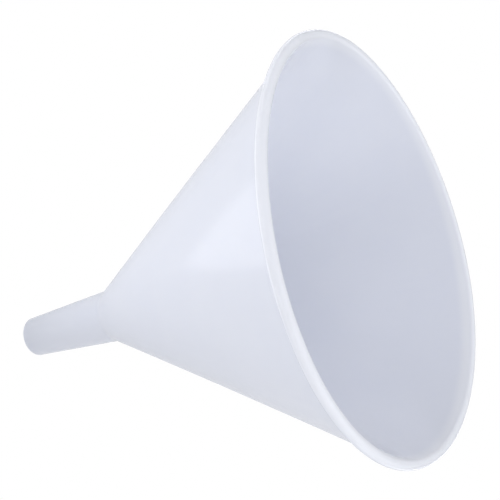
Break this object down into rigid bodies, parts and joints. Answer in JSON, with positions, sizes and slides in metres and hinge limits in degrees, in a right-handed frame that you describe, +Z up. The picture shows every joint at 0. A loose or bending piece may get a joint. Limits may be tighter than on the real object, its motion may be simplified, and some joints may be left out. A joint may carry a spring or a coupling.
{
  "type": "conical funnel",
  "caption": "Plain wide-mouthed conical funnel in white plastic, with a thick rounded rim and a short tapered stem, for pouring liquid or powder into a narrow neck.",
  "frame": {"origin": "centre of the stem's outlet face, the lowest point of the funnel when it is in use", "axes": "+Z up along the funnel's axis of symmetry, from the outlet towards the mouth; X and Y are any two level directions, because the funnel is round"},
  "size_m": [0.15, 0.15, 0.162],
  "materials": {
    "funnel_plastic": "satin-gloss moulded, slightly translucent white polypropylene"
  },
  "bodies": {
    "root": {"mouth_rim": "funnel_plastic", "cone_wall": "funnel_plastic", "throat": "funnel_plastic", "stem": "funnel_plastic"}
  },
  "joints": []
}
